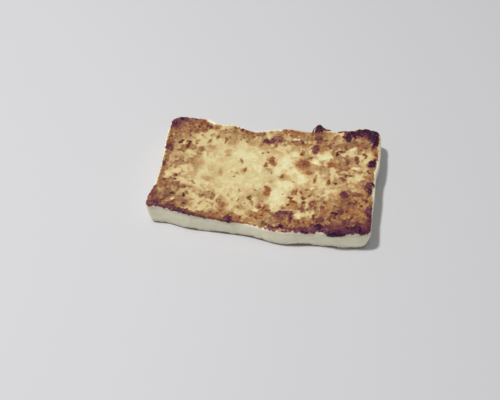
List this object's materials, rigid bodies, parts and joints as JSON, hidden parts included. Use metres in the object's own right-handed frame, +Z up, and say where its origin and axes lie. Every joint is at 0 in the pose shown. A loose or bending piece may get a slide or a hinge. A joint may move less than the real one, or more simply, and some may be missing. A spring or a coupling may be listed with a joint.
{
  "type": "halloumi slab",
  "caption": "Thick rectangular slab of fried halloumi, pale cut walls, browned uneven top and underside, slightly bowed edges, flat base.",
  "frame": {"origin": "middle of the slab's bounding box in plan, at the underside it rests on", "axes": "+X along the slab's length, +Y across its width towards the craggy long edge, +Z up through its thickness"},
  "size_m": [0.1106, 0.0648, 0.0169],
  "materials": {
    "fried_cheese": "satin fried cheese, cream with golden to dark brown crust"
  },
  "bodies": {
    "root": {"halloumi_slab": "fried_cheese"}
  },
  "joints": []
}
